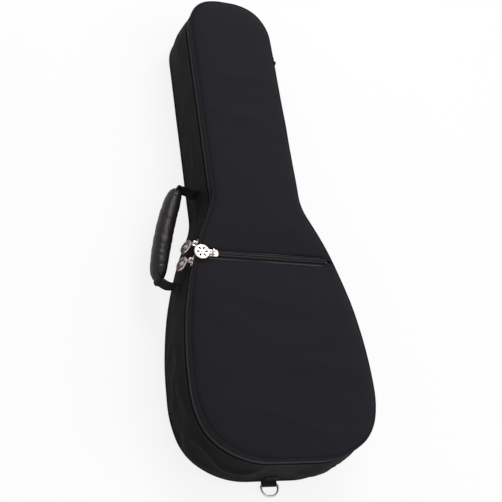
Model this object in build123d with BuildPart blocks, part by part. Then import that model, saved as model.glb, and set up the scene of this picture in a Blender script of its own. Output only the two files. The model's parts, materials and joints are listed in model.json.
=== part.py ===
"""A padded gig bag for a charango: a fabric shell lying on its back, a zipped lid with a zipped pocket,
a side handle, a ring at the foot and a webbing loop at the head for a shoulder strap.

The frame is in millimetres: +Z is up out of the lid, +Y runs towards the head and +X to the right.
The origin is the middle of the back panel, on the face that the bag lies on.
"""

import os
from math import cos, radians, sin, sqrt, tan

from build123d import *

os.makedirs("parts", exist_ok=True)

# Overall sizes
bag_length = 680.0
body_width = 240.0
neck_width = 124.0
bag_depth = 90.0

# Layers of the wall, from the outside in
cloth = 1.2
padding = 6.0
lining = 0.8
ply_gap = 0.25

# Plan shape: corner radii, turns and how far in each corner of the outline lies
foot_flat = 60.0
foot_radius = 100.0
hip_inset = 12.0
hip_height = 31.0
hip_radius = 65.0
side_start = 75.0
side_radius_low = 130.0
widest_from_foot = 105.0
flare_turn = 25.0
flare_radius = 500.0
shoulder_radius = 80.0
head_side_drop = 40.0
head_side_radius = 60.0
head_corner_inset = 18.0
head_corner_drop = 8.0
head_corner_radius = 45.0
head_flat = 16.0
head_radius = 58.0

# Main zip, set in the side wall just under the lid
zip_height = bag_depth - 12.0
zip_slit = 0.8
coil_width = 2.2
coil_thickness = 1.1
tape_thickness = 0.6
tape_width = 8.6
cloth_to_zip = 5.0
coil_inset = 0.2
coil_to_tape = 0.1

# Hinge side of the lid, where there is no zip
hinge_foot = -235.0
hinge_head = 250.0

# Pocket on the lid
pocket_zip_y = -80.0
pocket_zip_half = 84.0
pocket_slot_half = 5.0
pocket_space = 1.0
pocket_hem = 2.5
front_inset = 0.5
piping = 1.0
piping_height = 2.4

# Zip sliders, their links and medallions
slider_length = 14.0
slider_width = 9.0
slider_plate = 1.2
slider_lower_plate = 0.6
slider_clearance = 0.3
web_length = 8.0
web_thickness = 0.4
bail_height = 3.4
bail_half = 3.0
bail_radius = 0.8
link_wire = 1.2
link_length = 4.6
medallion_diameter = 19.0
medallion_thickness = 1.8
eye_diameter = 5.0
eye_hole = 2.4
eye_overlap = 1.2
petal_count = 6
side_pull_lean = 20.0
pocket_pull_droop = 6.0
upper_slider_y = -61.0
lower_slider_y = -85.0
pocket_slider_x = -76.0

# Handle on the left wall
handle_height = 40.0
handle_head_y = 34.0
handle_foot_y = -106.0
handle_standoff = 2.2
grip_length = 124.0
grip_width = 26.0
grip_thickness = 24.0
grip_reach = 30.0
grip_bow = 6.0
grip_cover = 1.4
webbing_width = 20.0
webbing_thickness = 2.0
webbing_clearance = 0.3
webbing_bend = 8.0
patch_length = 26.0
patch_width = 24.0
patch_thickness = 1.4

# Ring at the foot and strap loop at the head
ring_wire = 2.5
ring_inside = 20.0
ring_depth = 14.0
ring_height = 3.2
ring_bar_out = 5.5
tab_clearance = 0.3
tab_ply = 1.2
tab_rise = 16.0
loop_width = 24.0
loop_top = 62.0
loop_foot_y = 248.0
loop_middle_y = 274.0
loop_head_y = 276.0
loop_reach = 28.0
loop_sewn = 8.0
loop_bend = 4.0

# Worked out from the sizes above
half_length = bag_length / 2
half_body = body_width / 2
half_neck = neck_width / 2
widest_y = -half_length + widest_from_foot
flare_length = (half_body - half_neck) / sin(radians(flare_turn))
shoulder_tangent = shoulder_radius * tan(radians(flare_turn / 2))
flare_limit = (flare_length - shoulder_tangent - 2) / tan(radians(flare_turn / 2))
side_radius = min(flare_radius, flare_limit)
flare_corner_y = widest_y + side_radius * tan(radians(flare_turn / 2))
shoulder_y = flare_corner_y + flare_length * cos(radians(flare_turn))

padding_inset = cloth + ply_gap
lining_inset = padding_inset + padding + ply_gap
inside_inset = lining_inset + lining
tape_inset = coil_inset + coil_thickness + coil_to_tape
padding_top = cloth + padding
cloth_top = zip_height - cloth_to_zip
band_bottom = zip_height + cloth_to_zip
tape_bottom = zip_height - zip_slit / 2 - tape_width
padded_wall_top = tape_bottom + tape_thickness
lid_inset = tape_inset + tape_thickness + slider_clearance + slider_lower_plate + 1.4
panel_bottom = bag_depth - cloth
front_top = bag_depth + pocket_space + cloth


def bag_shape(inset):
    """The bag's plan shape, taken in by inset all round."""
    corners = [
        ((foot_flat, -half_length), foot_radius),
        ((half_body - hip_inset, -half_length + hip_height), hip_radius),
        ((half_body, -half_length + side_start), side_radius_low),
        ((half_body, flare_corner_y), side_radius),
        ((half_neck, shoulder_y), shoulder_radius),
        ((half_neck, half_length - head_side_drop), head_side_radius),
        ((half_neck - head_corner_inset, half_length - head_corner_drop), head_corner_radius),
        ((head_flat, half_length), head_radius),
    ]
    corners += [((-x, y), radius) for (x, y), radius in reversed(corners)]
    points = []
    radii = []
    for index, (corner, radius) in enumerate(corners):
        here = Vector(*corner)
        before = (here - Vector(*corners[index - 1][0])).normalized()
        after = (Vector(*corners[(index + 1) % len(corners)][0]) - here).normalized()
        inward = Vector(-before.Y - after.Y, before.X + after.X) * (inset / (1 + before.dot(after)))
        points.append(here + inward)
        radii.append(radius - inset if before.cross(after).Z > 0 else radius + inset)
    with BuildSketch(mode=Mode.PRIVATE) as shape:
        with BuildLine():
            FilletPolyline(*points, radius=radii, close=True)
        make_face()
    return shape.sketch


def draw_plate(inset):
    """Adds the plan shape to the sketch being built."""
    add(bag_shape(inset))


def draw_wall(outer, inner):
    """Adds a ring that follows the bag's edge, between two insets, to the sketch being built."""
    add(bag_shape(outer))
    add(bag_shape(inner), mode=Mode.SUBTRACT)


def cut_hinge_side():
    """Cuts the stretch of wall between the two ends of the zip out of the sketch being built."""
    with Locations((half_body, (hinge_foot + hinge_head) / 2)):
        Rectangle(body_width, hinge_head - hinge_foot, mode=Mode.SUBTRACT)


def keep_hinge_side():
    """Keeps only the stretch of wall between the two ends of the zip in the sketch being built."""
    with Locations((half_body, (hinge_foot + hinge_head) / 2)):
        Rectangle(body_width, hinge_head - hinge_foot - 2 * ply_gap, mode=Mode.INTERSECT)


def wall_point(y):
    """The left wall's outer face at y, on the flare's arc, and its outward direction there."""
    run = y - widest_y
    drop = sqrt(side_radius**2 - run**2)
    x = -(half_body - side_radius + drop)
    return Vector(x, y, 0), Vector(-drop / side_radius, run / side_radius, 0)


def write(piece, name):
    """Labels a finished piece and writes its file."""
    piece.part.label = name
    export_step(piece.part, f"parts/{name}.step")


# --- Back and side wall -------------------------------------------------------------------------

with BuildPart() as back_panel:
    with BuildSketch():
        draw_plate(0)
    extrude(amount=cloth)
write(back_panel, "back_panel")

with BuildPart() as back_padding:
    with BuildSketch(Plane.XY.offset(cloth)):
        draw_plate(padding_inset)
    extrude(amount=padding)
write(back_padding, "back_padding")

with BuildPart() as back_lining:
    with BuildSketch(Plane.XY.offset(padding_top)):
        draw_plate(lining_inset)
    extrude(amount=lining)
write(back_lining, "back_lining")

with BuildPart() as gusset_panel:
    with BuildSketch(Plane.XY.offset(cloth)):
        draw_wall(0, cloth)
    extrude(amount=cloth_top - cloth)
write(gusset_panel, "gusset_panel")

with BuildPart() as gusset_padding:
    with BuildSketch(Plane.XY.offset(padding_top)):
        draw_wall(padding_inset, padding_inset + padding)
    extrude(amount=tape_bottom - padding_top)
write(gusset_padding, "gusset_padding")

with BuildPart() as gusset_lining:
    with BuildSketch(Plane.XY.offset(padding_top + lining)):
        draw_wall(lining_inset, inside_inset)
    extrude(amount=tape_bottom - padding_top - lining)
write(gusset_lining, "gusset_lining")

# The tape that binds the padding's raw edge under the zip
with BuildPart() as edge_binding:
    with BuildSketch(Plane.XY.offset(tape_bottom)):
        draw_wall(tape_inset + tape_thickness + ply_gap, inside_inset)
    extrude(amount=tape_thickness)
write(edge_binding, "edge_binding")

# --- Main zip: a tape and a coil on the wall, the same on the lid --------------------------------

with BuildPart() as gusset_zip_tape:
    with BuildSketch(Plane.XY.offset(tape_bottom)):
        draw_wall(tape_inset, tape_inset + tape_thickness)
        cut_hinge_side()
    extrude(amount=tape_width)
write(gusset_zip_tape, "gusset_zip_tape")

with BuildPart() as gusset_zip_coil:
    with BuildSketch(Plane.XY.offset(zip_height - zip_slit / 2 - coil_width)):
        draw_wall(coil_inset, coil_inset + coil_thickness)
        cut_hinge_side()
    extrude(amount=coil_width)
write(gusset_zip_coil, "gusset_zip_coil")

with BuildPart() as lid_zip_tape:
    with BuildSketch(Plane.XY.offset(zip_height + zip_slit / 2)):
        draw_wall(tape_inset, tape_inset + tape_thickness)
        cut_hinge_side()
    extrude(amount=tape_width)
write(lid_zip_tape, "lid_zip_tape")

with BuildPart() as lid_zip_coil:
    with BuildSketch(Plane.XY.offset(zip_height + zip_slit / 2)):
        draw_wall(coil_inset, coil_inset + coil_thickness)
        cut_hinge_side()
    extrude(amount=coil_width)
write(lid_zip_coil, "lid_zip_coil")

# The cloth hinge, sewn behind the wall's top edge and behind the lid's band
with BuildPart() as hinge_strip:
    with BuildSketch(Plane.XY.offset(tape_bottom)):
        draw_wall(tape_inset, tape_inset + tape_thickness)
        keep_hinge_side()
    extrude(amount=2 * tape_width + zip_slit)
write(hinge_strip, "hinge_strip")

# --- Lid ----------------------------------------------------------------------------------------

with BuildPart() as lid_panel:
    with BuildSketch(Plane.XY.offset(panel_bottom)):
        draw_plate(0)
    extrude(amount=cloth)
write(lid_panel, "lid_panel")

with BuildPart() as lid_band:
    with BuildSketch(Plane.XY.offset(band_bottom)):
        draw_wall(0, cloth)
    extrude(amount=panel_bottom - band_bottom)
write(lid_band, "lid_band")

with BuildPart() as lid_padding:
    with BuildSketch(Plane.XY.offset(panel_bottom - padding)):
        draw_plate(lid_inset)
    extrude(amount=padding)
write(lid_padding, "lid_padding")

with BuildPart() as lid_lining:
    with BuildSketch(Plane.XY.offset(panel_bottom - padding - lining)):
        draw_plate(lid_inset)
    extrude(amount=lining)
write(lid_lining, "lid_lining")

# The corded seam round the lid's edge
with BuildPart() as lid_piping:
    with BuildSketch(Plane.XY.offset(bag_depth - piping_height)):
        draw_wall(-piping, 0)
    extrude(amount=piping_height)
write(lid_piping, "lid_piping")

# --- Front: upper panel, pocket panel and the pocket's zip ---------------------------------------

with BuildPart() as front_upper_panel:
    with BuildSketch(Plane.XY.offset(bag_depth)):
        draw_plate(front_inset)
        with Locations((0, pocket_zip_y - bag_length / 2 + ply_gap)):
            Rectangle(body_width, bag_length, mode=Mode.SUBTRACT)
        with Locations((0, pocket_zip_y)):
            Rectangle(2 * pocket_zip_half, 2 * pocket_slot_half, mode=Mode.SUBTRACT)
    extrude(amount=pocket_space + cloth)
write(front_upper_panel, "front_upper_panel")

with BuildPart() as pocket_panel:
    with BuildSketch(Plane.XY.offset(bag_depth + pocket_space)):
        draw_plate(front_inset)
        with Locations((0, pocket_zip_y + bag_length / 2 - ply_gap)):
            Rectangle(body_width, bag_length, mode=Mode.SUBTRACT)
        with Locations((0, pocket_zip_y)):
            Rectangle(2 * pocket_zip_half, 2 * pocket_slot_half, mode=Mode.SUBTRACT)
    extrude(amount=cloth)
    # The hem that is turned under and sewn into the lid's edge
    with BuildSketch(Plane.XY.offset(bag_depth)):
        draw_wall(front_inset, front_inset + pocket_hem)
        with Locations((0, pocket_zip_y - pocket_slot_half + bag_length / 2)):
            Rectangle(body_width, bag_length, mode=Mode.SUBTRACT)
    extrude(amount=pocket_space)
write(pocket_panel, "pocket_panel")

tape_reach = pocket_slot_half - zip_slit / 2
with BuildPart() as pocket_zip_tape:
    with BuildSketch(Plane.XY.offset(bag_depth + pocket_space)):
        for side in (-1, 1):
            with Locations((0, pocket_zip_y + side * (zip_slit + tape_reach) / 2)):
                Rectangle(2 * pocket_zip_half, tape_reach)
    extrude(amount=tape_thickness)
write(pocket_zip_tape, "pocket_zip_tape")

pocket_coil_base = bag_depth + pocket_space + tape_thickness
with BuildPart() as pocket_zip_coil:
    with BuildSketch(Plane.XY.offset(pocket_coil_base)):
        for side in (-1, 1):
            with Locations((0, pocket_zip_y + side * (zip_slit + coil_width) / 2)):
                Rectangle(2 * pocket_zip_half, coil_width)
    extrude(amount=coil_thickness)
write(pocket_zip_coil, "pocket_zip_coil")


# --- Zip sliders, links and medallions -----------------------------------------------------------

bar_height = slider_clearance + slider_plate + bail_height


def make_slider(seat, across, depth, name):
    """One slider. seat lies on the coil's face with its X along the zip, and depth is how thick the zip is there.
    The bail's bar runs along the zip, or across it."""
    with BuildPart() as slider:
        with BuildSketch(seat.offset(slider_clearance)):
            RectangleRounded(slider_length, slider_width, 3)
        extrude(amount=slider_plate)
        with BuildSketch(seat.offset(-depth - slider_clearance - slider_lower_plate)):
            RectangleRounded(slider_length - 2, slider_width - 2, 2)
        extrude(amount=slider_lower_plate)
        with BuildSketch(seat.offset(-depth - slider_clearance)):
            Rectangle(web_length, web_thickness)
        extrude(amount=depth + 2 * slider_clearance)
        bail_x = Vector(*seat.y_dir) if across else Vector(*seat.x_dir)
        bail_foot = seat.origin + seat.z_dir * (slider_clearance + slider_plate)
        with BuildSketch(Plane(bail_foot, x_dir=bail_x, z_dir=bail_x.cross(seat.z_dir))):
            with Locations((0, (bail_height + bail_radius) / 2)):
                Rectangle(2 * (bail_half + bail_radius), bail_height + bail_radius)
            with Locations((0, (bail_height - bail_radius) / 2)):
                Rectangle(2 * (bail_half - bail_radius), bail_height - bail_radius, mode=Mode.SUBTRACT)
        extrude(amount=bail_radius, both=True)
    write(slider, name)


def make_link(hang, name):
    """One wire link. hang's origin is the bail's bar, its Z lies along the bar and its X points at the medallion."""
    reach = bail_radius + slider_clearance + link_wire / 2
    with BuildPart() as link:
        with BuildLine(hang):
            FilletPolyline(
                (-reach, -reach),
                (link_length, -reach),
                (link_length, reach),
                (-reach, reach),
                radius=reach - 0.2,
                close=True,
            )
        middle = hang.origin + hang.x_dir * (link_length / 2) - hang.y_dir * reach
        with BuildSketch(Plane(middle, x_dir=hang.y_dir, z_dir=hang.x_dir)):
            Circle(link_wire / 2)
        sweep()
    write(link, name)


def make_medallion(hang, name):
    """One pierced medallion on its eye. hang is its link's plane."""
    disc_x = (eye_diameter + medallion_diameter) / 2 - eye_overlap
    face = Plane(hang.origin + hang.x_dir * link_length, hang.x_dir, hang.y_dir)
    with BuildPart() as medallion:
        with BuildSketch(face.offset(-medallion_thickness / 2)):
            with Locations((disc_x, 0)):
                Circle(medallion_diameter / 2)
            Circle(eye_diameter / 2)
            Circle(eye_hole / 2, mode=Mode.SUBTRACT)
            with Locations((disc_x, 0)):
                with PolarLocations(medallion_diameter / 4 + 0.6, petal_count):
                    Ellipse(medallion_diameter / 8, medallion_diameter / 14, mode=Mode.SUBTRACT)
        extrude(amount=medallion_thickness)
    write(medallion, name)


side_zip_depth = coil_thickness + coil_to_tape + tape_thickness
for name, slider_y in (("upper", upper_slider_y), ("lower", lower_slider_y)):
    wall, outward = wall_point(slider_y)
    coil_face = wall - outward * coil_inset + Vector(0, 0, zip_height)
    along = outward.cross(Vector(0, 0, 1)) * -1
    seat = Plane(coil_face, x_dir=along, z_dir=outward)
    make_slider(seat, False, side_zip_depth, f"{name}_slider")
    bar = coil_face + outward * bar_height
    lean = radians(side_pull_lean)
    down = Vector(0, 0, -1) * cos(lean) + outward * sin(lean)
    hang = Plane(bar, x_dir=down, z_dir=along)
    make_link(hang, f"{name}_link")
    make_medallion(hang, f"{name}_medallion")

pocket_zip_depth = coil_thickness + tape_thickness
pocket_seat = Plane((pocket_slider_x, pocket_zip_y, pocket_coil_base + coil_thickness), x_dir=(1, 0, 0), z_dir=(0, 0, 1))
make_slider(pocket_seat, True, pocket_zip_depth, "pocket_slider")
droop = radians(pocket_pull_droop)
pocket_hang = Plane(
    pocket_seat.origin + Vector(0, 0, bar_height),
    x_dir=(-cos(droop), 0, -sin(droop)),
    z_dir=(0, 1, 0),
)
make_link(pocket_hang, "pocket_link")
make_medallion(pocket_hang, "pocket_medallion")

# --- Handle: webbing in padding in a wrapped cover, between two sewn patches ----------------------

handle_head = Vector(-half_neck, handle_head_y, handle_height)
foot_wall, foot_out = wall_point(handle_foot_y)
handle_foot = foot_wall + Vector(0, 0, handle_height)
handle_run = (handle_head - handle_foot).normalized()
handle_out = Vector(-handle_run.Y, handle_run.X, 0)
handle_middle = (handle_head + handle_foot) * 0.5 + handle_out * handle_standoff
handle_half = (handle_head - handle_foot).length / 2
# X runs along the handle towards the head, Y out from the wall
handle_plane = Plane(handle_middle, x_dir=handle_run, z_dir=handle_run.cross(handle_out))


with BuildLine(handle_plane) as grip_line:
    ThreePointArc(
        (-grip_length / 2, grip_reach),
        (0, grip_reach + grip_bow),
        (grip_length / 2, grip_reach),
    )

# The plane across the grip's foot end, with X out from the wall
grip_end = Plane(grip_line.line @ 0, x_dir=handle_out, z_dir=grip_line.line % 0)

with BuildPart() as handle_cover:
    with BuildSketch(grip_end):
        Ellipse(grip_thickness / 2, grip_width / 2)
        Ellipse(grip_thickness / 2 - grip_cover, grip_width / 2 - grip_cover, mode=Mode.SUBTRACT)
    sweep(path=grip_line.line)
write(handle_cover, "handle_cover")

with BuildPart() as handle_padding:
    with BuildSketch(grip_end):
        Ellipse(grip_thickness / 2 - grip_cover - ply_gap, grip_width / 2 - grip_cover - ply_gap)
        Rectangle(
            webbing_thickness + 2 * webbing_clearance,
            webbing_width + 2 * webbing_clearance,
            mode=Mode.SUBTRACT,
        )
    sweep(path=grip_line.line)
write(handle_padding, "handle_padding")

# The webbing runs through the grip and drops to the wall at both ends
with BuildPart() as handle_webbing:
    with BuildSketch(handle_plane.offset(-webbing_width / 2)):
        with BuildLine():
            bow = ThreePointArc(
                (-grip_length / 2, grip_reach),
                (0, grip_reach + grip_bow),
                (grip_length / 2, grip_reach),
            )
            for side in (-1, 1):
                FilletPolyline(
                    (side * grip_length / 2, grip_reach),
                    (side * handle_half, grip_reach - 3 * webbing_thickness),
                    (side * handle_half, 0),
                    radius=webbing_bend,
                )
        trace(line_width=webbing_thickness)
    extrude(amount=webbing_width)
write(handle_webbing, "handle_webbing")

# The two sewn patches that hold the webbing's ends, each following the wall
for name, patch_y in (("head", handle_head_y), ("foot", handle_foot_y)):
    with BuildPart() as handle_patch:
        with BuildSketch(Plane.XY.offset(handle_height - patch_width / 2)):
            draw_wall(-patch_thickness, 0)
            with Locations((-half_body / 2, patch_y)):
                Rectangle(half_body, patch_length, mode=Mode.INTERSECT)
        extrude(amount=patch_width)
    write(handle_patch, f"handle_{name}_patch")

# --- Ring at the foot and strap loop at the head --------------------------------------------------

ring_bar_y = -half_length - ring_bar_out
ring_middle = ring_inside / 2 + ring_wire / 2
with BuildPart() as foot_ring:
    with BuildLine(Plane.XY.offset(ring_height)):
        FilletPolyline(
            (-ring_middle, ring_bar_y),
            (ring_middle, ring_bar_y),
            (ring_middle, ring_bar_y - ring_depth),
            (-ring_middle, ring_bar_y - ring_depth),
            radius=(ring_wire, ring_wire, ring_depth * 0.7, ring_depth * 0.7),
            close=True,
        )
    with BuildSketch(Plane((0, ring_bar_y, ring_height), x_dir=(0, 1, 0), z_dir=(1, 0, 0))):
        Circle(ring_wire / 2)
    sweep()
write(foot_ring, "foot_ring")

# A folded webbing tab round the ring's bar, its two plies sewn to the foot wall
tab_inner = ring_wire / 2 + tab_clearance
tab_width = ring_inside - 4 * tab_clearance
with BuildPart() as ring_tab:
    with BuildSketch(Plane((-tab_width / 2, ring_bar_y, ring_height), x_dir=(0, 1, 0), z_dir=(1, 0, 0))):
        Circle(tab_inner + tab_ply)
        with Locations((ring_bar_out / 2, 0)):
            Rectangle(ring_bar_out, 2 * (tab_inner + tab_ply))
        with Locations((ring_bar_out - tab_ply / 2, tab_rise / 2)):
            Rectangle(tab_ply, tab_rise)
        Circle(tab_inner, mode=Mode.SUBTRACT)
    extrude(amount=tab_width)
write(ring_tab, "ring_tab")

# The loop stands out from the right wall and is sewn down at both ends
with BuildPart() as strap_loop:
    with BuildSketch(Plane.XY.offset(loop_top - loop_width)):
        with BuildLine():
            wall_x = half_neck + webbing_thickness / 2
            FilletPolyline(
                (wall_x, loop_foot_y - loop_sewn),
                (wall_x, loop_foot_y),
                (half_neck + loop_reach, loop_middle_y),
                (wall_x, loop_head_y),
                (wall_x, loop_head_y + loop_sewn),
                radius=(loop_bend, loop_bend * 1.5, loop_bend),
            )
        trace(line_width=webbing_thickness)
    extrude(amount=loop_width)
write(strap_loop, "strap_loop")
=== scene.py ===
"""A black padded gig bag for a charango, shut, lying on its back on a pale floor."""

import json
import math

import bpy
import numpy as np
from mathutils import Matrix, Vector, noise


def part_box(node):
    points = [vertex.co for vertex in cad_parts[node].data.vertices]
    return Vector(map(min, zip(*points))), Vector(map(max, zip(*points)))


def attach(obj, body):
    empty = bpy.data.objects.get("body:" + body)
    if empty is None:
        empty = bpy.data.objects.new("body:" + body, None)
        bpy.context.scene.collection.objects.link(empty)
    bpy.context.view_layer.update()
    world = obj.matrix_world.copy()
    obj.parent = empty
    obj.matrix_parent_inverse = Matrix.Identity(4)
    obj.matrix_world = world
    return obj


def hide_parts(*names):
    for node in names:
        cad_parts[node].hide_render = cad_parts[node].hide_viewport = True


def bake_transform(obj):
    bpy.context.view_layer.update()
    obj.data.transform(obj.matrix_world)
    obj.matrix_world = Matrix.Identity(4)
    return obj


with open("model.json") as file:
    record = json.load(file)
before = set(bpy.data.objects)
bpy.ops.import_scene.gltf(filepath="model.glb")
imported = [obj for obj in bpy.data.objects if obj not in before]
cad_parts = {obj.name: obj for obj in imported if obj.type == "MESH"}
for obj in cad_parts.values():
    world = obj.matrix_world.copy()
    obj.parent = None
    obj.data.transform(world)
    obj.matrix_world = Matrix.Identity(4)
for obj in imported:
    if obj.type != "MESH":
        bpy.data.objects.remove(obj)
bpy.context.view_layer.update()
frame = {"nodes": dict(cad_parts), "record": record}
nodes = frame["nodes"]
bpy.ops.object.select_all(action="DESELECT")


# --- Cloth ---------------------------------------------------------------------------------------
# The bag is cut from a black nylon pack cloth with a fine square weave and a soft sheen.
# Its lining is a thinner, smoother cloth. Both come from one weave pattern.
def new_group(name, inputs, outputs):
    group = bpy.data.node_groups.new(name, "ShaderNodeTree")
    for label, kind, default in inputs:
        socket = group.interface.new_socket(label, in_out="INPUT", socket_type=kind)
        socket.default_value = default
    for label, kind in outputs:
        group.interface.new_socket(label, in_out="OUTPUT", socket_type=kind)
    return group, group.nodes.new("NodeGroupInput"), group.nodes.new("NodeGroupOutput")


def add_maths(tree, operation, first, second=None, third=None):
    node = tree.nodes.new("ShaderNodeMath")
    node.operation = operation
    for socket, value in zip(node.inputs, (first, second, third)):
        if value is None:
            continue
        if isinstance(value, (int, float)):
            socket.default_value = value
        else:
            tree.links.new(value, socket)
    return node.outputs[0]


weave, weave_in, weave_out = new_group(
    "square_weave",
    [("Threads", "NodeSocketFloat", 900.0), ("Wear", "NodeSocketFloat", 18.0)],
    [("Height", "NodeSocketFloat"), ("Shade", "NodeSocketFloat")],
)
place = weave.nodes.new("ShaderNodeTexCoord")
split = weave.nodes.new("ShaderNodeSeparateXYZ")
weave.links.new(place.outputs["Object"], split.inputs[0])
waves = []
for axis in range(3):
    turn = add_maths(weave, "MULTIPLY", split.outputs[axis], weave_in.outputs["Threads"])
    waves.append(add_maths(weave, "SINE", add_maths(weave, "MULTIPLY", turn, 2 * math.pi)))
over = add_maths(weave, "MULTIPLY", waves[0], waves[1])
over = add_maths(weave, "ADD", over, add_maths(weave, "MULTIPLY", waves[2], 0.5))
weave.links.new(over, weave_out.inputs["Height"])
patchy = weave.nodes.new("ShaderNodeTexNoise")
patchy.inputs["Detail"].default_value = 6.0
weave.links.new(place.outputs["Object"], patchy.inputs["Vector"])
weave.links.new(weave_in.outputs["Wear"], patchy.inputs["Scale"])
weave.links.new(patchy.outputs["Fac"], weave_out.inputs["Shade"])


def make_cloth(name, dark, light, threads, rough, sheen, bump):
    """A woven cloth between two close colours."""
    material = bpy.data.materials.new(name)
    material.use_nodes = True
    tree = material.node_tree
    shader = tree.nodes["Principled BSDF"]
    shader.inputs["Sheen Weight"].default_value = sheen
    shader.inputs["Sheen Roughness"].default_value = 0.45
    shader.inputs["Sheen Tint"].default_value = (0.85, 0.85, 1.0, 1.0)
    shader.inputs["Specular IOR Level"].default_value = 0.14
    cloth = tree.nodes.new("ShaderNodeGroup")
    cloth.node_tree = weave
    cloth.inputs["Threads"].default_value = threads
    mix = tree.nodes.new("ShaderNodeMix")
    mix.data_type = "RGBA"
    mix.inputs["A"].default_value = (*dark, 1.0)
    mix.inputs["B"].default_value = (*light, 1.0)
    tree.links.new(cloth.outputs["Shade"], mix.inputs["Factor"])
    tree.links.new(mix.outputs["Result"], shader.inputs["Base Color"])
    roughness = add_maths(tree, "MULTIPLY_ADD", cloth.outputs["Shade"], 0.2, rough - 0.1)
    tree.links.new(roughness, shader.inputs["Roughness"])
    relief = tree.nodes.new("ShaderNodeBump")
    relief.inputs["Strength"].default_value = bump
    relief.inputs["Distance"].default_value = 0.0002
    tree.links.new(cloth.outputs["Height"], relief.inputs["Height"])
    tree.links.new(relief.outputs["Normal"], shader.inputs["Normal"])
    return material


pack_cloth = make_cloth(
    "pack_cloth", (0.0062, 0.0054, 0.0082), (0.0125, 0.0112, 0.0152), 900.0, 0.74, 0.015, 0.35
)
# The side walls use the same pack cloth painted darker: painted shade for the walls that face away from
# the light.
side_cloth_painted_shade = make_cloth(
    "side_cloth_painted_shade", (0.0030, 0.0029, 0.0034), (0.0058, 0.0056, 0.0063), 900.0, 0.78, 0.01, 0.35
)
lining_cloth = make_cloth(
    "lining_cloth", (0.022, 0.022, 0.024), (0.032, 0.032, 0.034), 1500.0, 0.7, 0.1, 0.2
)
foam = make_cloth("grey_foam", (0.10, 0.10, 0.105), (0.14, 0.14, 0.145), 400.0, 0.9, 0.0, 0.3)
webbing_cloth = make_cloth(
    "black_webbing", (0.0055, 0.0055, 0.006), (0.009, 0.009, 0.0095), 450.0, 0.68, 0.03, 0.9
)
zip_cloth = make_cloth(
    "zip_tape", (0.0045, 0.0045, 0.005), (0.0075, 0.0075, 0.008), 700.0, 0.7, 0.02, 0.6
)
thread = make_cloth(
    "stitch_thread", (0.011, 0.011, 0.012), (0.017, 0.017, 0.018), 1500.0, 0.55, 0.05, 0.3
)


# --- The bag's outline ---------------------------------------------------------------------------
# Everything sewn round the edge follows one line: the outline of the back panel's pattern piece.
# The line is read once from the panel and walked in even steps.
heart = Vector((0.0, -0.1))


def edge_line(node, step):
    """Even points along a flat node's outline, anticlockwise, with their outward directions."""
    spots = np.array([v.co for v in nodes[node].data.vertices])[:, :2]
    spots = np.unique(np.round(spots, 6), axis=0)
    turn = np.arctan2(spots[:, 1] - heart.y, spots[:, 0] - heart.x)
    ring = spots[np.argsort(turn)]
    loop = np.vstack([ring, ring[:1]])
    along = np.concatenate([[0], np.cumsum(np.linalg.norm(np.diff(loop, axis=0), axis=1))])
    count = int(along[-1] / step)
    at = np.arange(count) * along[-1] / count
    line = np.column_stack([np.interp(at, along, loop[:, k]) for k in (0, 1)])
    ahead = np.roll(line, -1, axis=0) - np.roll(line, 1, axis=0)
    outward = np.column_stack([ahead[:, 1], -ahead[:, 0]])
    return line, outward / np.linalg.norm(outward, axis=1)[:, None]


rim, rim_out = edge_line("back_panel", 0.004)


def distance_in(spots):
    """How far in from the bag's outline each spot is."""
    gap = np.empty(len(spots))
    for start in range(0, len(spots), 4000):
        part = spots[start : start + 4000, None, :2] - rim[None]
        gap[start : start + 4000] = np.sqrt((part**2).sum(2)).min(1)
    return gap


def use_only(piece):
    bpy.ops.object.select_all(action="DESELECT")
    piece.select_set(True)
    bpy.context.view_layer.objects.active = piece


def apply_all(piece):
    use_only(piece)
    for modifier in list(piece.modifiers):
        bpy.ops.object.modifier_apply(modifier=modifier.name)


def new_piece(name, verts, faces):
    mesh = bpy.data.meshes.new(name)
    mesh.from_pydata(verts, [], faces)
    piece = bpy.data.objects.new(name, mesh)
    bpy.context.scene.collection.objects.link(piece)
    return piece


def face_outwards(piece):
    use_only(piece)
    bpy.ops.object.mode_set(mode="EDIT")
    bpy.ops.mesh.select_all(action="SELECT")
    bpy.ops.mesh.normals_make_consistent(inside=False)
    bpy.ops.object.mode_set(mode="OBJECT")


def hoop_faces(count, sides):
    """Faces that join count sections of so many sides into a closed hoop."""
    faces = []
    for k in range(count):
        for j in range(sides):
            ahead, beside = (k + 1) % count, (j + 1) % sides
            faces.append((k * sides + j, ahead * sides + j, ahead * sides + beside, k * sides + beside))
    return faces


def set_material(node, material):
    nodes[node].data.materials.clear()
    nodes[node].data.materials.append(material)


def keep_faces(piece, wanted):
    """Deletes every face that wanted(centre, normal) refuses."""
    use_only(piece)
    bpy.ops.object.mode_set(mode="EDIT")
    bpy.ops.mesh.select_all(action="DESELECT")
    bpy.ops.mesh.select_mode(type="FACE")
    bpy.ops.object.mode_set(mode="OBJECT")
    for face in piece.data.polygons:
        face.select = not wanted(face.center, face.normal)
    bpy.ops.object.mode_set(mode="EDIT")
    bpy.ops.mesh.delete(type="FACE")
    bpy.ops.object.mode_set(mode="OBJECT")


def block_from(node, name, low, high):
    """A soft block between two heights, with the outline of a flat node's top face."""
    piece = bpy.data.objects.new(name, nodes[node].data.copy())
    bpy.context.scene.collection.objects.link(piece)
    top = max(v.co.z for v in piece.data.vertices)
    keep_faces(piece, lambda at, way: at.z > top - 0.00005 and way.z > 0.9)
    bpy.ops.object.mode_set(mode="EDIT")
    bpy.ops.mesh.select_all(action="SELECT")
    bpy.ops.mesh.remove_doubles(threshold=0.00001)
    bpy.ops.object.mode_set(mode="OBJECT")
    for vertex in piece.data.vertices:
        vertex.co.z = high
    thicken = piece.modifiers.new("thicken", "SOLIDIFY")
    thicken.thickness = high - low
    thicken.offset = -1
    apply_all(piece)
    piece.data.materials.clear()
    return piece


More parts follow.
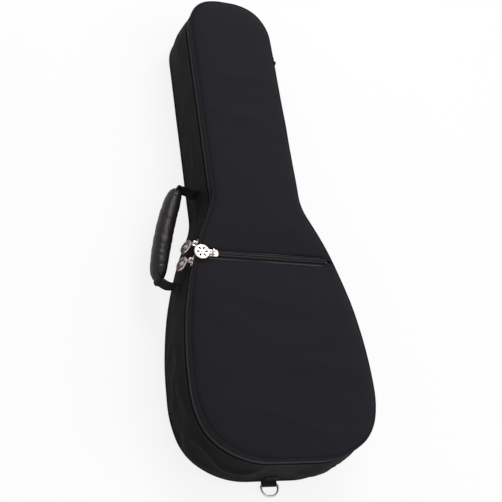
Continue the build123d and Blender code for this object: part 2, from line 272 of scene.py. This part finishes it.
def remesh(piece, size, smooth=4):
    even = piece.modifiers.new("even", "REMESH")
    even.mode = "VOXEL"
    even.voxel_size = size
    even.use_smooth_shade = True
    soften = piece.modifiers.new("soften", "SMOOTH")
    soften.iterations = smooth
    apply_all(piece)


def read_mesh(piece):
    count = len(piece.data.vertices)
    spots = np.empty(count * 3)
    ways = np.empty(count * 3)
    piece.data.vertices.foreach_get("co", spots)
    piece.data.vertices.foreach_get("normal", ways)
    return spots.reshape(-1, 3), ways.reshape(-1, 3)


def write_mesh(piece, spots):
    piece.data.vertices.foreach_set("co", spots.ravel())
    piece.data.update()


def ridges(spot, scale, seed):
    """Soft folds: a value from 0 to 1 with narrow crests."""
    value = noise.noise(Vector(spot) * scale + Vector((seed, 0, 0)))
    return 1 - min(1, abs(value) * 3.2)


def give_wall(piece, thickness, inward=0.0):
    """Moves a skin inwards, then gives it a thickness towards the inside."""
    use_only(piece)
    if inward:
        bpy.ops.object.mode_set(mode="EDIT")
        bpy.ops.mesh.select_all(action="SELECT")
        bpy.ops.transform.shrink_fatten(value=-inward)
        bpy.ops.object.mode_set(mode="OBJECT")
    wall = piece.modifiers.new("wall", "SOLIDIFY")
    wall.thickness = thickness
    wall.offset = -1
    wall.use_even_offset = False
    apply_all(piece)


def finish_piece(piece, body, material, slot, *replaced):
    piece.data.materials.clear()
    piece.data.materials.append(material)
    use_only(piece)
    bpy.ops.object.shade_smooth()
    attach(piece, body)
    if replaced:
        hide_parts(*replaced)
    return piece


# --- Back and side wall --------------------------------------------------------------------------
# The back panel and the gusset are sewn together round the back edge, and padded with foam.
# The wall swells a little between its two seams and creases where it turns the corners.
wall_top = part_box("gusset_panel")[1].z
wall_swell = 0.0028
crease_depth = 0.0030

tray = block_from("back_panel", "tray", 0.0, wall_top + 0.004)
remesh(tray, 0.0035)
spots, ways = read_mesh(tray)
height = np.clip(spots[:, 2] / wall_top, 0, 1)
level = ways.copy()
level[:, 2] = 0
side = np.linalg.norm(level, axis=1)
swell = wall_swell * np.sin(np.pi * height) * np.clip(side, 0, 1)
fold = np.array([ridges((s[0], s[1], s[2] * 1.6), 17.0, 3.0) for s in spots])
fine = np.array([noise.noise(Vector(s) * 70.0) for s in spots])
foot = np.clip((-0.12 - spots[:, 1]) / 0.2, 0, 1)
ruffle = crease_depth * fold * (0.35 + 0.9 * foot) + 0.0005 * fine
move = swell + side * np.sin(np.pi * height) * ruffle
# The ring folds down against the wall beside its tab, where the cloth is sewn flat
tab_low, tab_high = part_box("ring_tab")
tab_middle = (np.array(tab_low) + np.array(tab_high)) / 2
from_tab = np.hypot(spots[:, 0] - tab_middle[0], spots[:, 1] - tab_middle[1])
sewn_flat = np.clip((from_tab - 0.018) / 0.030, 0, 1)
move = move * sewn_flat * sewn_flat * (3 - 2 * sewn_flat)
inside = distance_in(spots)
under = (ways[:, 2] < -0.5) & (inside > 0.012)
spots = spots + level / np.maximum(side, 0.2)[:, None] * move[:, None]
spots[under, 2] += 0.0006 * (1 + fine[under])
spots[:, 2] = np.maximum(spots[:, 2], 0.0)
write_mesh(tray, spots)


def tray_skin(name, wanted):
    piece = bpy.data.objects.new(name, tray.data.copy())
    bpy.context.scene.collection.objects.link(piece)
    keep_faces(piece, wanted)
    return piece


seam_height = 0.006
# The gusset, the turned edge, the lid's band and the hinge take the darker side cloth, which carries
# painted shade.
gusset_cloth = tray_skin(
    "gusset_cloth", lambda at, way: seam_height - 0.003 < at.z < wall_top and way.z > -0.85
)
give_wall(gusset_cloth, 0.0012)
finish_piece(gusset_cloth, "bag", side_cloth_painted_shade, "bag_cloth", "gusset_panel")

back_cloth = tray_skin("back_cloth", lambda at, way: at.z < seam_height and way.z < 0.5)
give_wall(back_cloth, 0.0012, 0.0003)
finish_piece(back_cloth, "bag", pack_cloth, "bag_cloth", "back_panel")

foam_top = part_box("gusset_padding")[1].z
wall_foam = tray_skin("wall_foam", lambda at, way: at.z < foam_top)
give_wall(wall_foam, 0.0058, 0.0017)
finish_piece(wall_foam, "bag", foam, "padding", "gusset_padding", "back_padding")

wall_lining = tray_skin("wall_lining", lambda at, way: at.z < foam_top)
give_wall(wall_lining, 0.0008, 0.0079)
finish_piece(wall_lining, "bag", lining_cloth, "lining_cloth", "gusset_lining", "back_lining")
bpy.data.objects.remove(tray)


# --- Corded seams --------------------------------------------------------------------------------
# A thin cord in a folded cloth strip is caught in the seams at the back and the front edge.
def run_round(name, inset, height, across, up, sides=10, wobble=0.0):
    """An oval cord that follows the bag's outline, at an inset and a height."""
    verts = []
    for spot, out in zip(rim, rim_out):
        stray = wobble * noise.noise(Vector((spot[0], spot[1], 0.3)) * 26.0)
        for j in range(sides):
            turn = 2 * math.pi * j / sides
            reach = -inset + across * math.cos(turn) + stray
            rise = height + up * math.sin(turn) + stray * 0.6
            verts.append((spot[0] + out[0] * reach, spot[1] + out[1] * reach, rise))
    return new_piece(name, verts, hoop_faces(len(rim), sides))


back_cord = run_round("back_cord", 0.0002, 0.0042, 0.0019, 0.0019, wobble=0.0004)
finish_piece(back_cord, "bag", webbing_cloth, "webbing")

lid_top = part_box("lid_panel")[1].z
front_cord = run_round("front_cord", 0.0006, lid_top - 0.0012, 0.0022, 0.0021, wobble=0.0005)
finish_piece(front_cord, "lid", pack_cloth, "webbing", "lid_piping")

# --- Main zip ------------------------------------------------------------------------------------
# A coil zip on woven tapes closes the wall under the lid's edge, except along the cloth hinge.
# Each coil turn shows as one rounded tooth. The cloth is turned under beside the tapes.
for node in ("gusset_zip_tape", "lid_zip_tape", "pocket_zip_tape", "edge_binding"):
    set_material(node, zip_cloth)

coil_plastic = bpy.data.materials.new("zip_coil")
coil_plastic.use_nodes = True
coil_shader = coil_plastic.node_tree.nodes["Principled BSDF"]
coil_shader.inputs["Roughness"].default_value = 0.42
coil_shader.inputs["Specular IOR Level"].default_value = 0.3
coil_noise = coil_plastic.node_tree.nodes.new("ShaderNodeTexNoise")
coil_noise.inputs["Scale"].default_value = 300.0
coil_ramp = coil_plastic.node_tree.nodes.new("ShaderNodeMix")
coil_ramp.data_type = "RGBA"
coil_ramp.inputs["A"].default_value = (0.007, 0.007, 0.0075, 1.0)
coil_ramp.inputs["B"].default_value = (0.012, 0.012, 0.013, 1.0)
coil_plastic.node_tree.links.new(coil_noise.outputs["Fac"], coil_ramp.inputs["Factor"])
coil_plastic.node_tree.links.new(coil_ramp.outputs["Result"], coil_shader.inputs["Base Color"])
for node in ("gusset_zip_coil", "lid_zip_coil", "pocket_zip_coil"):
    set_material(node, coil_plastic)


def place_teeth(name, places, size):
    """Copies one tooth, a six-sided bead, to each place: (centre, along, out, up)."""
    verts, faces = [], []
    foot_corners = ((-1, 0, -1), (1, 0, -1), (1, 0, 1), (-1, 0, 1))
    crest_corners = ((-0.5, 1, -0.7), (0.5, 1, -0.7), (0.5, 1, 0.7), (-0.5, 1, 0.7))
    bead = foot_corners + crest_corners
    skin = ((0, 1, 2, 3), (0, 4, 5, 1), (1, 5, 6, 2), (2, 6, 7, 3), (3, 7, 4, 0), (7, 6, 5, 4))
    for centre, along, out, up in places:
        first = len(verts)
        for a, b, c in bead:
            verts.append(centre + along * (a * size[0]) + out * (b * size[1]) + up * (c * size[2]))
        faces += [tuple(first + k for k in face) for face in skin]
    piece = new_piece(name, verts, faces)
    face_outwards(piece)
    return piece


hinge_low, hinge_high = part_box("hinge_strip")
tooth_pitch = 0.0017
teeth_rim, teeth_out = edge_line("back_panel", tooth_pitch)
up = Vector((0, 0, 1))
for name, body, node in (
    ("gusset_teeth", "bag", "gusset_zip_coil"),
    ("lid_teeth", "lid", "lid_zip_coil"),
):
    low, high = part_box(node)
    places = []
    for spot, out in zip(teeth_rim, teeth_out):
        if spot[0] > 0 and hinge_low.y - 0.002 < spot[1] < hinge_high.y + 0.002:
            continue
        out = Vector((out[0], out[1], 0))
        centre = Vector((spot[0], spot[1], (low.z + high.z) / 2)) - out * 0.00025
        places.append((centre, out.cross(up), out, up))
    teeth = place_teeth(name, places, (0.0006, 0.0004, (high.z - low.z) / 2))
    finish_piece(teeth, body, coil_plastic, "zip_coil")
    use_only(teeth)
    bpy.ops.object.shade_flat()

pocket_low, pocket_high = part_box("pocket_zip_coil")
places = []
for share in (0.25, 0.75):
    side_y = pocket_low.y * (1 - share) + pocket_high.y * share
    for k in range(int((pocket_high.x - pocket_low.x) / tooth_pitch)):
        centre = Vector((pocket_low.x + 0.001 + k * tooth_pitch, side_y, pocket_high.z))
        places.append((centre, Vector((1, 0, 0)), up, Vector((0, 1, 0))))
pocket_teeth = place_teeth("pocket_teeth", places, (0.0006, 0.0003, 0.0009))
finish_piece(pocket_teeth, "lid", coil_plastic, "zip_coil")


def band_round(name, insets, heights):
    """A flat band that follows the outline, its section closed through pairs of inset and height."""
    verts = []
    for spot, out in zip(rim, rim_out):
        for inset, rise in zip(insets, heights):
            verts.append((spot[0] - out[0] * inset, spot[1] - out[1] * inset, rise))
    piece = new_piece(name, verts, hoop_faces(len(rim), len(insets)))
    face_outwards(piece)
    return piece


# The cloth's turned edge below the zip, and the band of cloth above it
turned_edge = band_round(
    "turned_edge",
    (-0.0004, -0.0008, -0.0006, 0.0004, 0.0012, 0.0012),
    [wall_top - drop for drop in (0.007, 0.003, 0.0006, 0.0, 0.0006, 0.007)],
)
finish_piece(turned_edge, "bag", side_cloth_painted_shade, "bag_cloth")
band_low, band_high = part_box("lid_band")
band_middle_z = (band_low.z + band_high.z) / 2
lid_band = band_round(
    "lid_band_cloth",
    (0.0012, 0.0004, -0.0006, -0.0009, -0.0006, 0.0006),
    (band_low.z + 0.0006, band_low.z, band_low.z + 0.0006, band_middle_z, band_high.z, band_high.z),
)
finish_piece(lid_band, "lid", side_cloth_painted_shade, "bag_cloth", "lid_band")

# --- Cloth hinge ---------------------------------------------------------------------------------
# On the right the lid is joined to the wall by a strip of the same cloth.
hinge = bpy.data.objects.new("hinge_cloth", nodes["hinge_strip"].data.copy())
bpy.context.scene.collection.objects.link(hinge)
use_only(hinge)
bpy.ops.object.mode_set(mode="EDIT")
bpy.ops.mesh.select_all(action="SELECT")
bpy.ops.mesh.remove_doubles(threshold=0.00001)
bpy.ops.mesh.subdivide(number_cuts=7)
bpy.ops.object.mode_set(mode="OBJECT")
hinge.data.materials.clear()
hinge.data.materials.append(side_cloth_painted_shade)
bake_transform(hinge)
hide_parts("hinge_strip")

# --- Lid -----------------------------------------------------------------------------------------
# The lid is a foam pad between cloth and lining. It carries the two front panels and the pocket's zip.
lid_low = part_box("lid_padding")[0].z
lid_pad = block_from("lid_padding", "lid_pad", lid_low, lid_top - 0.0002)
remesh(lid_pad, 0.0035)
finish_piece(lid_pad, "lid", foam, "padding", "lid_padding", "lid_panel")

lining_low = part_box("lid_lining")[0].z
lid_lining = block_from("lid_lining", "lid_lining_cloth", lining_low - 0.0008, lid_low + 0.0012)
remesh(lid_lining, 0.0028)
spots, ways = read_mesh(lid_lining)
fold = np.array([noise.noise(Vector(s) * 30.0) for s in spots])
spots[:, 2] += np.where(ways[:, 2] < -0.5, 0.0007 * fold, 0)
write_mesh(lid_lining, spots)
finish_piece(lid_lining, "lid", lining_cloth, "lining_cloth", "lid_lining")

# --- Front panels --------------------------------------------------------------------------------
# The upper panel and the pocket panel are padded cloth, sewn into the front seam all round.
# Each swells between its seams, lies flat along the pocket's zip, and has soft folds.
pocket_zip_y = (pocket_low.y + pocket_high.y) / 2
front_swell = 0.0062
pocket_swell = 0.0068


def front_panel(name, node, swell, crease, seed):
    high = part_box(node)[1]
    piece = block_from(node, name, high.z - 0.0062, high.z)
    remesh(piece, 0.0029, 6)
    spots, ways = read_mesh(piece)
    inside = distance_in(spots)
    edge_fade = 1 - np.exp(-np.maximum(inside - 0.002, 0) / 0.022)
    zip_fade = np.clip((np.abs(spots[:, 1] - pocket_zip_y) - 0.005) / 0.045, 0, 1)
    zip_fade = zip_fade * zip_fade * (3 - 2 * zip_fade)
    rise = swell * edge_fade * zip_fade
    long_fold = np.array([ridges((s[0] * 0.8, s[1] * 1.5, 0), 9.0, seed) for s in spots])
    small_fold = np.array([noise.noise(Vector((s[0], s[1] * 1.4, seed)) * 24.0) for s in spots])
    fine = np.array([noise.noise(Vector((s[0], s[1], seed)) * 85.0) for s in spots])
    near_edge = np.exp(-np.maximum(inside - 0.004, 0) / 0.03)
    rise += edge_fade * (0.4 + 0.6 * zip_fade) * (crease * long_fold + 0.0009 * small_fold)
    rise += edge_fade * near_edge * 0.0007 * fine
    spots[:, 2] += np.where(ways[:, 2] > -0.4, rise, 0)
    write_mesh(piece, spots)
    keep_faces(piece, lambda at, way: not (way.z < -0.4 and at.z < high.z - 0.004))
    give_wall(piece, 0.0012)
    return finish_piece(piece, "lid", pack_cloth, "bag_cloth", node)


upper_front = front_panel("upper_front", "front_upper_panel", front_swell, 0.0022, 1.5)
pocket_front = front_panel("pocket_front", "pocket_panel", pocket_swell, 0.0032, 8.0)


# --- Stitching -----------------------------------------------------------------------------------
# Lockstitches in a black bonded thread hold the seams. Each one shows as a short raised bead.
def stitches(name, body, places, length=0.0013, thick=0.00035):
    piece = place_teeth(name, places, (length, thick, thick))
    return finish_piece(piece, body, thread, "webbing")


stitch_rim, stitch_out = edge_line("back_panel", 0.0042)
places = []
for spot, out in zip(stitch_rim, stitch_out):
    out = Vector((out[0], out[1], 0))
    centre = Vector((spot[0], spot[1], band_low.z + 0.0021)) + out * 0.0009
    places.append((centre, out.cross(up), out, up))
stitches("band_stitches", "lid", places)
places = []
for spot, out in zip(stitch_rim, stitch_out):
    out = Vector((out[0], out[1], 0))
    centre = Vector((spot[0], spot[1], wall_top - 0.0027)) + out * 0.0008
    places.append((centre, out.cross(up), out, up))
stitches("edge_stitches", "bag", places)

# --- Metal ---------------------------------------------------------------------------------------
# The sliders, links and medallions are cast zinc with a pale warm plating. The ring is plated steel.
def make_metal(name, dark, light, rough, scale):
    material = bpy.data.materials.new(name)
    material.use_nodes = True
    tree = material.node_tree
    shader = tree.nodes["Principled BSDF"]
    shader.inputs["Metallic"].default_value = 1.0
    grain = tree.nodes.new("ShaderNodeTexNoise")
    grain.inputs["Scale"].default_value = scale
    grain.inputs["Detail"].default_value = 5.0
    where = tree.nodes.new("ShaderNodeTexCoord")
    tree.links.new(where.outputs["Object"], grain.inputs["Vector"])
    mix = tree.nodes.new("ShaderNodeMix")
    mix.data_type = "RGBA"
    mix.inputs["A"].default_value = (*dark, 1.0)
    mix.inputs["B"].default_value = (*light, 1.0)
    tree.links.new(grain.outputs["Fac"], mix.inputs["Factor"])
    tree.links.new(mix.outputs["Result"], shader.inputs["Base Color"])
    roughness = add_maths(tree, "MULTIPLY_ADD", grain.outputs["Fac"], 0.18, rough - 0.09)
    tree.links.new(roughness, shader.inputs["Roughness"])
    relief = tree.nodes.new("ShaderNodeBump")
    relief.inputs["Strength"].default_value = 0.15
    relief.inputs["Distance"].default_value = 0.0001
    tree.links.new(grain.outputs["Fac"], relief.inputs["Height"])
    tree.links.new(relief.outputs["Normal"], shader.inputs["Normal"])
    return material


pale_plating = make_metal("pale_plating", (0.62, 0.52, 0.49), (0.88, 0.80, 0.77), 0.30, 700.0)
ring_plating = make_metal("ring_plating", (0.55, 0.55, 0.57), (0.78, 0.78, 0.80), 0.24, 500.0)
joints = {joint["name"]: joint for joint in frame["record"]["behaviour"]["joints"]}
for which in ("upper", "lower", "pocket"):
    for part in ("slider", "link", "medallion"):
        set_material(f"{which}_{part}", pale_plating)
set_material("foot_ring", ring_plating)

# Each medallion has a rolled rim and a domed rosette of petals between its holes
medallion_radius = 0.0095
eye_to_middle = 0.0108


def add_medallion_relief(which):
    eye = Vector(joints[f"{which}_medallion_swing"]["pos_m"])
    face = Vector(joints[f"{which}_medallion_swing"]["axis"]).normalized()
    bar = Vector(joints[f"{which}_link_swing"]["pos_m"])
    along = (eye - bar).normalized()
    middle = eye + along * eye_to_middle
    turn = face.to_track_quat("Z", "X").to_matrix().to_4x4()
    for name, size, thick in (("rim", medallion_radius - 0.0007, 0.00115), ("ring", 0.0030, 0.0006)):
        bpy.ops.object.select_all(action="DESELECT")
        bpy.ops.mesh.primitive_torus_add(
            major_radius=size, minor_radius=thick, major_segments=64, minor_segments=12
        )
        piece = bpy.context.object
        piece.name = f"{which}_medallion_{name}"
        if name == "ring":
            for vertex in piece.data.vertices:
                vertex.co.z *= 2.0
        piece.data.transform(Matrix.Translation(middle) @ turn)
        finish_piece(piece, f"{which}_medallion", pale_plating, "pull_metal")
    bpy.ops.object.select_all(action="DESELECT")
    bpy.ops.mesh.primitive_uv_sphere_add(segments=32, ring_count=16, radius=0.0021)
    boss = bpy.context.object
    boss.name = f"{which}_medallion_boss"
    for vertex in boss.data.vertices:
        vertex.co.z *= 0.75
    boss.data.transform(Matrix.Translation(middle) @ turn)
    finish_piece(boss, f"{which}_medallion", pale_plating, "pull_metal")


for which in ("upper", "lower", "pocket"):
    add_medallion_relief(which)

# --- Handle --------------------------------------------------------------------------------------
# A webbing strap runs through a padded grip wrapped in shiny dark vinyl, gathered at both ends.
# Its ends are sewn flat to the side wall under two patches.
swing = joints["handle_swing"]
handle_middle = Vector(swing["pos_m"])
run = Vector(swing["axis"]).normalized()
out = Vector((-run.y, run.x, 0))
handle_frame = Matrix.Translation(handle_middle) @ Matrix((run, out, up)).transposed().to_4x4()
grip_half = 0.071
grip_reach = 0.0285
grip_bow = 0.004
grip_out_half = 0.0122
grip_up_half = 0.0132

vinyl = bpy.data.materials.new("dark_vinyl")
vinyl.use_nodes = True
tree = vinyl.node_tree
shader = tree.nodes["Principled BSDF"]
shader.inputs["Roughness"].default_value = 0.40
shader.inputs["Specular IOR Level"].default_value = 0.25
shader.inputs["Coat Weight"].default_value = 0.12
shader.inputs["Coat Roughness"].default_value = 0.22
where = tree.nodes.new("ShaderNodeTexCoord")
grain = tree.nodes.new("ShaderNodeTexVoronoi")
grain.inputs["Scale"].default_value = 900.0
tree.links.new(where.outputs["Object"], grain.inputs["Vector"])
tone = tree.nodes.new("ShaderNodeTexNoise")
tone.inputs["Scale"].default_value = 60.0
tone.inputs["Detail"].default_value = 8.0
tree.links.new(where.outputs["Object"], tone.inputs["Vector"])
mix = tree.nodes.new("ShaderNodeMix")
mix.data_type = "RGBA"
mix.inputs["A"].default_value = (0.0085, 0.0062, 0.0066, 1.0)
mix.inputs["B"].default_value = (0.018, 0.0140, 0.0145, 1.0)
tree.links.new(tone.outputs["Fac"], mix.inputs["Factor"])
tree.links.new(mix.outputs["Result"], shader.inputs["Base Color"])
relief = tree.nodes.new("ShaderNodeBump")
relief.inputs["Strength"].default_value = 0.35
relief.inputs["Distance"].default_value = 0.0002
tree.links.new(grain.outputs["Distance"], relief.inputs["Height"])
tree.links.new(relief.outputs["Normal"], shader.inputs["Normal"])

bpy.ops.object.select_all(action="DESELECT")
bpy.ops.mesh.primitive_uv_sphere_add(segments=96, ring_count=160, radius=1.0)
grip = bpy.context.object
grip.name = "handle_grip"
for vertex in grip.data.vertices:
    x, y, z = vertex.co
    lie = math.copysign(abs(z) ** 0.8, z)
    girth = max(0.0, 1 - abs(lie) ** 7) ** 0.4
    flat = math.hypot(x, y) or 1.0
    turn = math.atan2(y, x)
    crease = ridges((lie * 2.0, math.cos(turn) * 0.35, math.sin(turn) * 0.35), 2.2, 5.0)
    small = noise.noise(Vector((lie * 6.0, math.cos(turn) * 0.9, math.sin(turn) * 0.9)))
    gather = 0.06 * math.cos(14 * turn) * abs(lie) ** 9
    swell = girth * (1 - 0.05 * crease * crease + 0.03 * small + gather)
    across = x / flat * swell * (0.94 + 0.06 * math.cos(lie * 2))
    tall = y / flat * swell
    along = lie * grip_half
    reach = grip_reach + grip_bow * (1 - lie * lie) + across * grip_out_half
    vertex.co = handle_frame @ Vector((along, reach, tall * grip_up_half))
face_outwards(grip)
finish_piece(grip, "handle", vinyl, "handle_vinyl", "handle_cover", "handle_padding")


def smooth_line(points, per_run):
    """A soft curve through points, ends included."""
    ends = [points[0] * 2 - points[1], *points, points[-1] * 2 - points[-2]]
    line = []
    for a, b, c, d in zip(ends, ends[1:], ends[2:], ends[3:]):
        for k in range(per_run):
            t = k / per_run
            bend = (2 * a - 5 * b + 4 * c - d) * t * t
            line.append(0.5 * (2 * b + (c - a) * t + bend + (3 * b - a - 3 * c + d) * t**3))
    return line + [points[-1]]


def webbing(name, line, width, thick):
    """A flat strap with rounded edges along a line, standing on its edge."""
    lower_half = [(-0.5, -0.36), (-0.36, -0.5), (0.36, -0.5), (0.5, -0.36)]
    section = lower_half + [(-a, -b) for a, b in lower_half]
    verts, faces = [], []
    for k, spot in enumerate(line):
        way = (line[min(k + 1, len(line) - 1)] - line[max(k - 1, 0)]).normalized()
        face = way.cross(up).normalized()
        for a, b in section:
            edge = math.copysign(0.5 - (0.5 - abs(b)) * thick / width, b)
            verts.append(spot + face * (a * thick) + up * (edge * width))
    sides = len(section)
    for k in range(len(line) - 1):
        for j in range(sides):
            beside = (j + 1) % sides
            here, ahead = k * sides, (k + 1) * sides
            faces.append((here + j, here + beside, ahead + beside, ahead + j))
    faces.append(tuple(range(sides)))
    faces.append(tuple(reversed(range((len(line) - 1) * sides, len(line) * sides))))
    piece = new_piece(name, verts, faces)
    face_outwards(piece)
    return piece


handle_half = 0.0729
strap_points = [
    (-handle_half - 0.004, 0.000),
    (-handle_half + 0.001, 0.004),
    (-handle_half - 0.001, 0.014),
    (-handle_half + 0.001, 0.023),
    (-grip_half + 0.002, 0.0295),
    (-grip_half / 2, grip_reach + grip_bow * 0.75),
    (0, grip_reach + grip_bow),
    (grip_half / 2, grip_reach + grip_bow * 0.75),
    (grip_half - 0.002, 0.0295),
    (handle_half - 0.001, 0.023),
    (handle_half + 0.001, 0.014),
    (handle_half - 0.001, 0.004),
    (handle_half + 0.004, 0.000),
]
strap_line = smooth_line([handle_frame @ Vector((a, b, 0)) for a, b in strap_points], 6)
strap = webbing("handle_strap", strap_line, 0.020, 0.0022)
strap.data.materials.append(webbing_cloth)
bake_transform(strap)
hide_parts("handle_webbing")

# --- Patches, ring tab and strap loop ------------------------------------------------------------
# The patches and the tab are short webbing pieces with a sewn box; the loop is one folded strap end.
for node in ("handle_head_patch", "handle_foot_patch", "ring_tab"):
    set_material(node, webbing_cloth)
for node in ("handle_head_patch", "handle_foot_patch"):
    low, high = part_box(node)
    places = []
    near = [
        (spot, way)
        for spot, way in zip(stitch_rim, stitch_out)
        if low.y + 0.002 < spot[1] < high.y - 0.002 and spot[0] < 0
    ]
    for spot, way in near:
        way = Vector((way[0], way[1], 0))
        for rise in (low.z + 0.002, high.z - 0.002):
            centre = Vector((spot[0], spot[1], rise)) + way * 0.0014
            places.append((centre, way.cross(up), way, up))
    for spot, way in (near[0], near[-1]):
        way = Vector((way[0], way[1], 0))
        for k in range(5):
            centre = Vector((spot[0], spot[1], low.z + 0.004 + k * 0.004)) + way * 0.0014
            places.append((centre, up, way, way.cross(up)))
    stitches(f"{node}_stitches", "bag", places)

loop_low, loop_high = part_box("strap_loop")
wall_x = loop_low.x + 0.001
loop_points = [
    (wall_x, loop_low.y),
    (wall_x, loop_low.y + 0.006),
    (wall_x + 0.008, loop_low.y + 0.014),
    (wall_x + 0.019, loop_low.y + 0.025),
    (loop_high.x - 0.004, loop_high.y - 0.0128),
    (wall_x + 0.017, loop_high.y - 0.0092),
    (wall_x + 0.006, loop_high.y - 0.0088),
    (wall_x + 0.0006, loop_high.y - 0.0050),
    (wall_x, loop_high.y),
]
loop_middle_z = (loop_low.z + loop_high.z) / 2
loop_line = smooth_line([Vector((a, b, loop_middle_z)) for a, b in loop_points], 6)
loop = webbing("head_loop", loop_line, loop_high.z - loop_low.z, 0.002)
finish_piece(loop, "bag", webbing_cloth, "webbing", "strap_loop")

# --- Floor, light and camera ---------------------------------------------------------------------
# A plain pale floor and broad soft lamps, with the camera over the bag's lower left.
floor_white = bpy.data.materials.new("pale_floor")
floor_white.use_nodes = True
tree = floor_white.node_tree
shader = tree.nodes["Principled BSDF"]
shader.inputs["Base Color"].default_value = (0.86, 0.86, 0.86, 1.0)
shader.inputs["Roughness"].default_value = 0.9
glow = tree.nodes.new("ShaderNodeEmission")
glow.inputs["Strength"].default_value = 1.0
seen = tree.nodes.new("ShaderNodeLightPath")
blend = tree.nodes.new("ShaderNodeMixShader")
share = add_maths(tree, "MULTIPLY", seen.outputs["Is Camera Ray"], 0.82)
tree.links.new(share, blend.inputs[0])
tree.links.new(shader.outputs[0], blend.inputs[1])
tree.links.new(glow.outputs[0], blend.inputs[2])
tree.links.new(blend.outputs[0], tree.nodes["Material Output"].inputs[0])
bpy.ops.object.select_all(action="DESELECT")
bpy.ops.mesh.primitive_plane_add(size=12.0, location=(0, 0, -0.0005))
floor = bpy.context.object
floor.name = "floor"
floor.data.materials.append(floor_white)

world = bpy.data.worlds.new("studio")
bpy.context.scene.world = world
world.use_nodes = True
world.node_tree.nodes["Background"].inputs["Color"].default_value = (1, 1, 1, 1)
world.node_tree.nodes["Background"].inputs["Strength"].default_value = 0.55

for name, spot, size, power in (
    ("key_lamp", (0.2, 1.1, 1.5), 1.0, 15.0),
    ("fill_lamp", (1.1, -0.5, 1.6), 1.4, 9.0),
    ("foot_lamp", (-0.3, -1.5, 0.9), 1.2, 5.0),
):
    lamp_data = bpy.data.lights.new(name, "AREA")
    lamp_data.energy = power
    lamp_data.size = size
    lamp = bpy.data.objects.new(name, lamp_data)
    bpy.context.scene.collection.objects.link(lamp)
    lamp.location = spot
    lamp.rotation_euler = (Vector((0, 0, 0.05)) - Vector(spot)).to_track_quat("-Z", "Y").to_euler()

# The camera stands to the bag's left and towards its foot, with the bag's head leaning left in the frame
yaw = math.radians(27.52)
pitch = math.radians(27.82)
roll = math.radians(-8.73)
distance = 1.3432
focal_share = 1000.0 / 502.0
off_centre = ((251.0 - 246.03) / 502.0, (218.46 - 251.0) / 502.0)
back = Vector((-math.sin(yaw) * math.cos(pitch), -math.sin(pitch), math.cos(yaw) * math.cos(pitch)))
right = Vector((math.cos(yaw), 0, math.sin(yaw)))
above = back.cross(right)
level_right = right * math.cos(roll) + above * math.sin(roll)
level_up = above * math.cos(roll) - right * math.sin(roll)
camera_data = bpy.data.cameras.new("camera")
camera = bpy.data.objects.new("camera", camera_data)
bpy.context.scene.collection.objects.link(camera)
camera_data.sensor_width = 36.0
camera_data.lens = 36.0 * focal_share
camera_data.shift_x = off_centre[0]
camera_data.shift_y = off_centre[1]
camera.matrix_world = Matrix.Translation(Vector((0, 0, 0.05)) + back * distance) @ Matrix(
    (level_right, level_up, back)
).transposed().to_4x4()
bpy.context.scene.camera = camera
bpy.context.scene.view_settings.view_transform = "Standard"
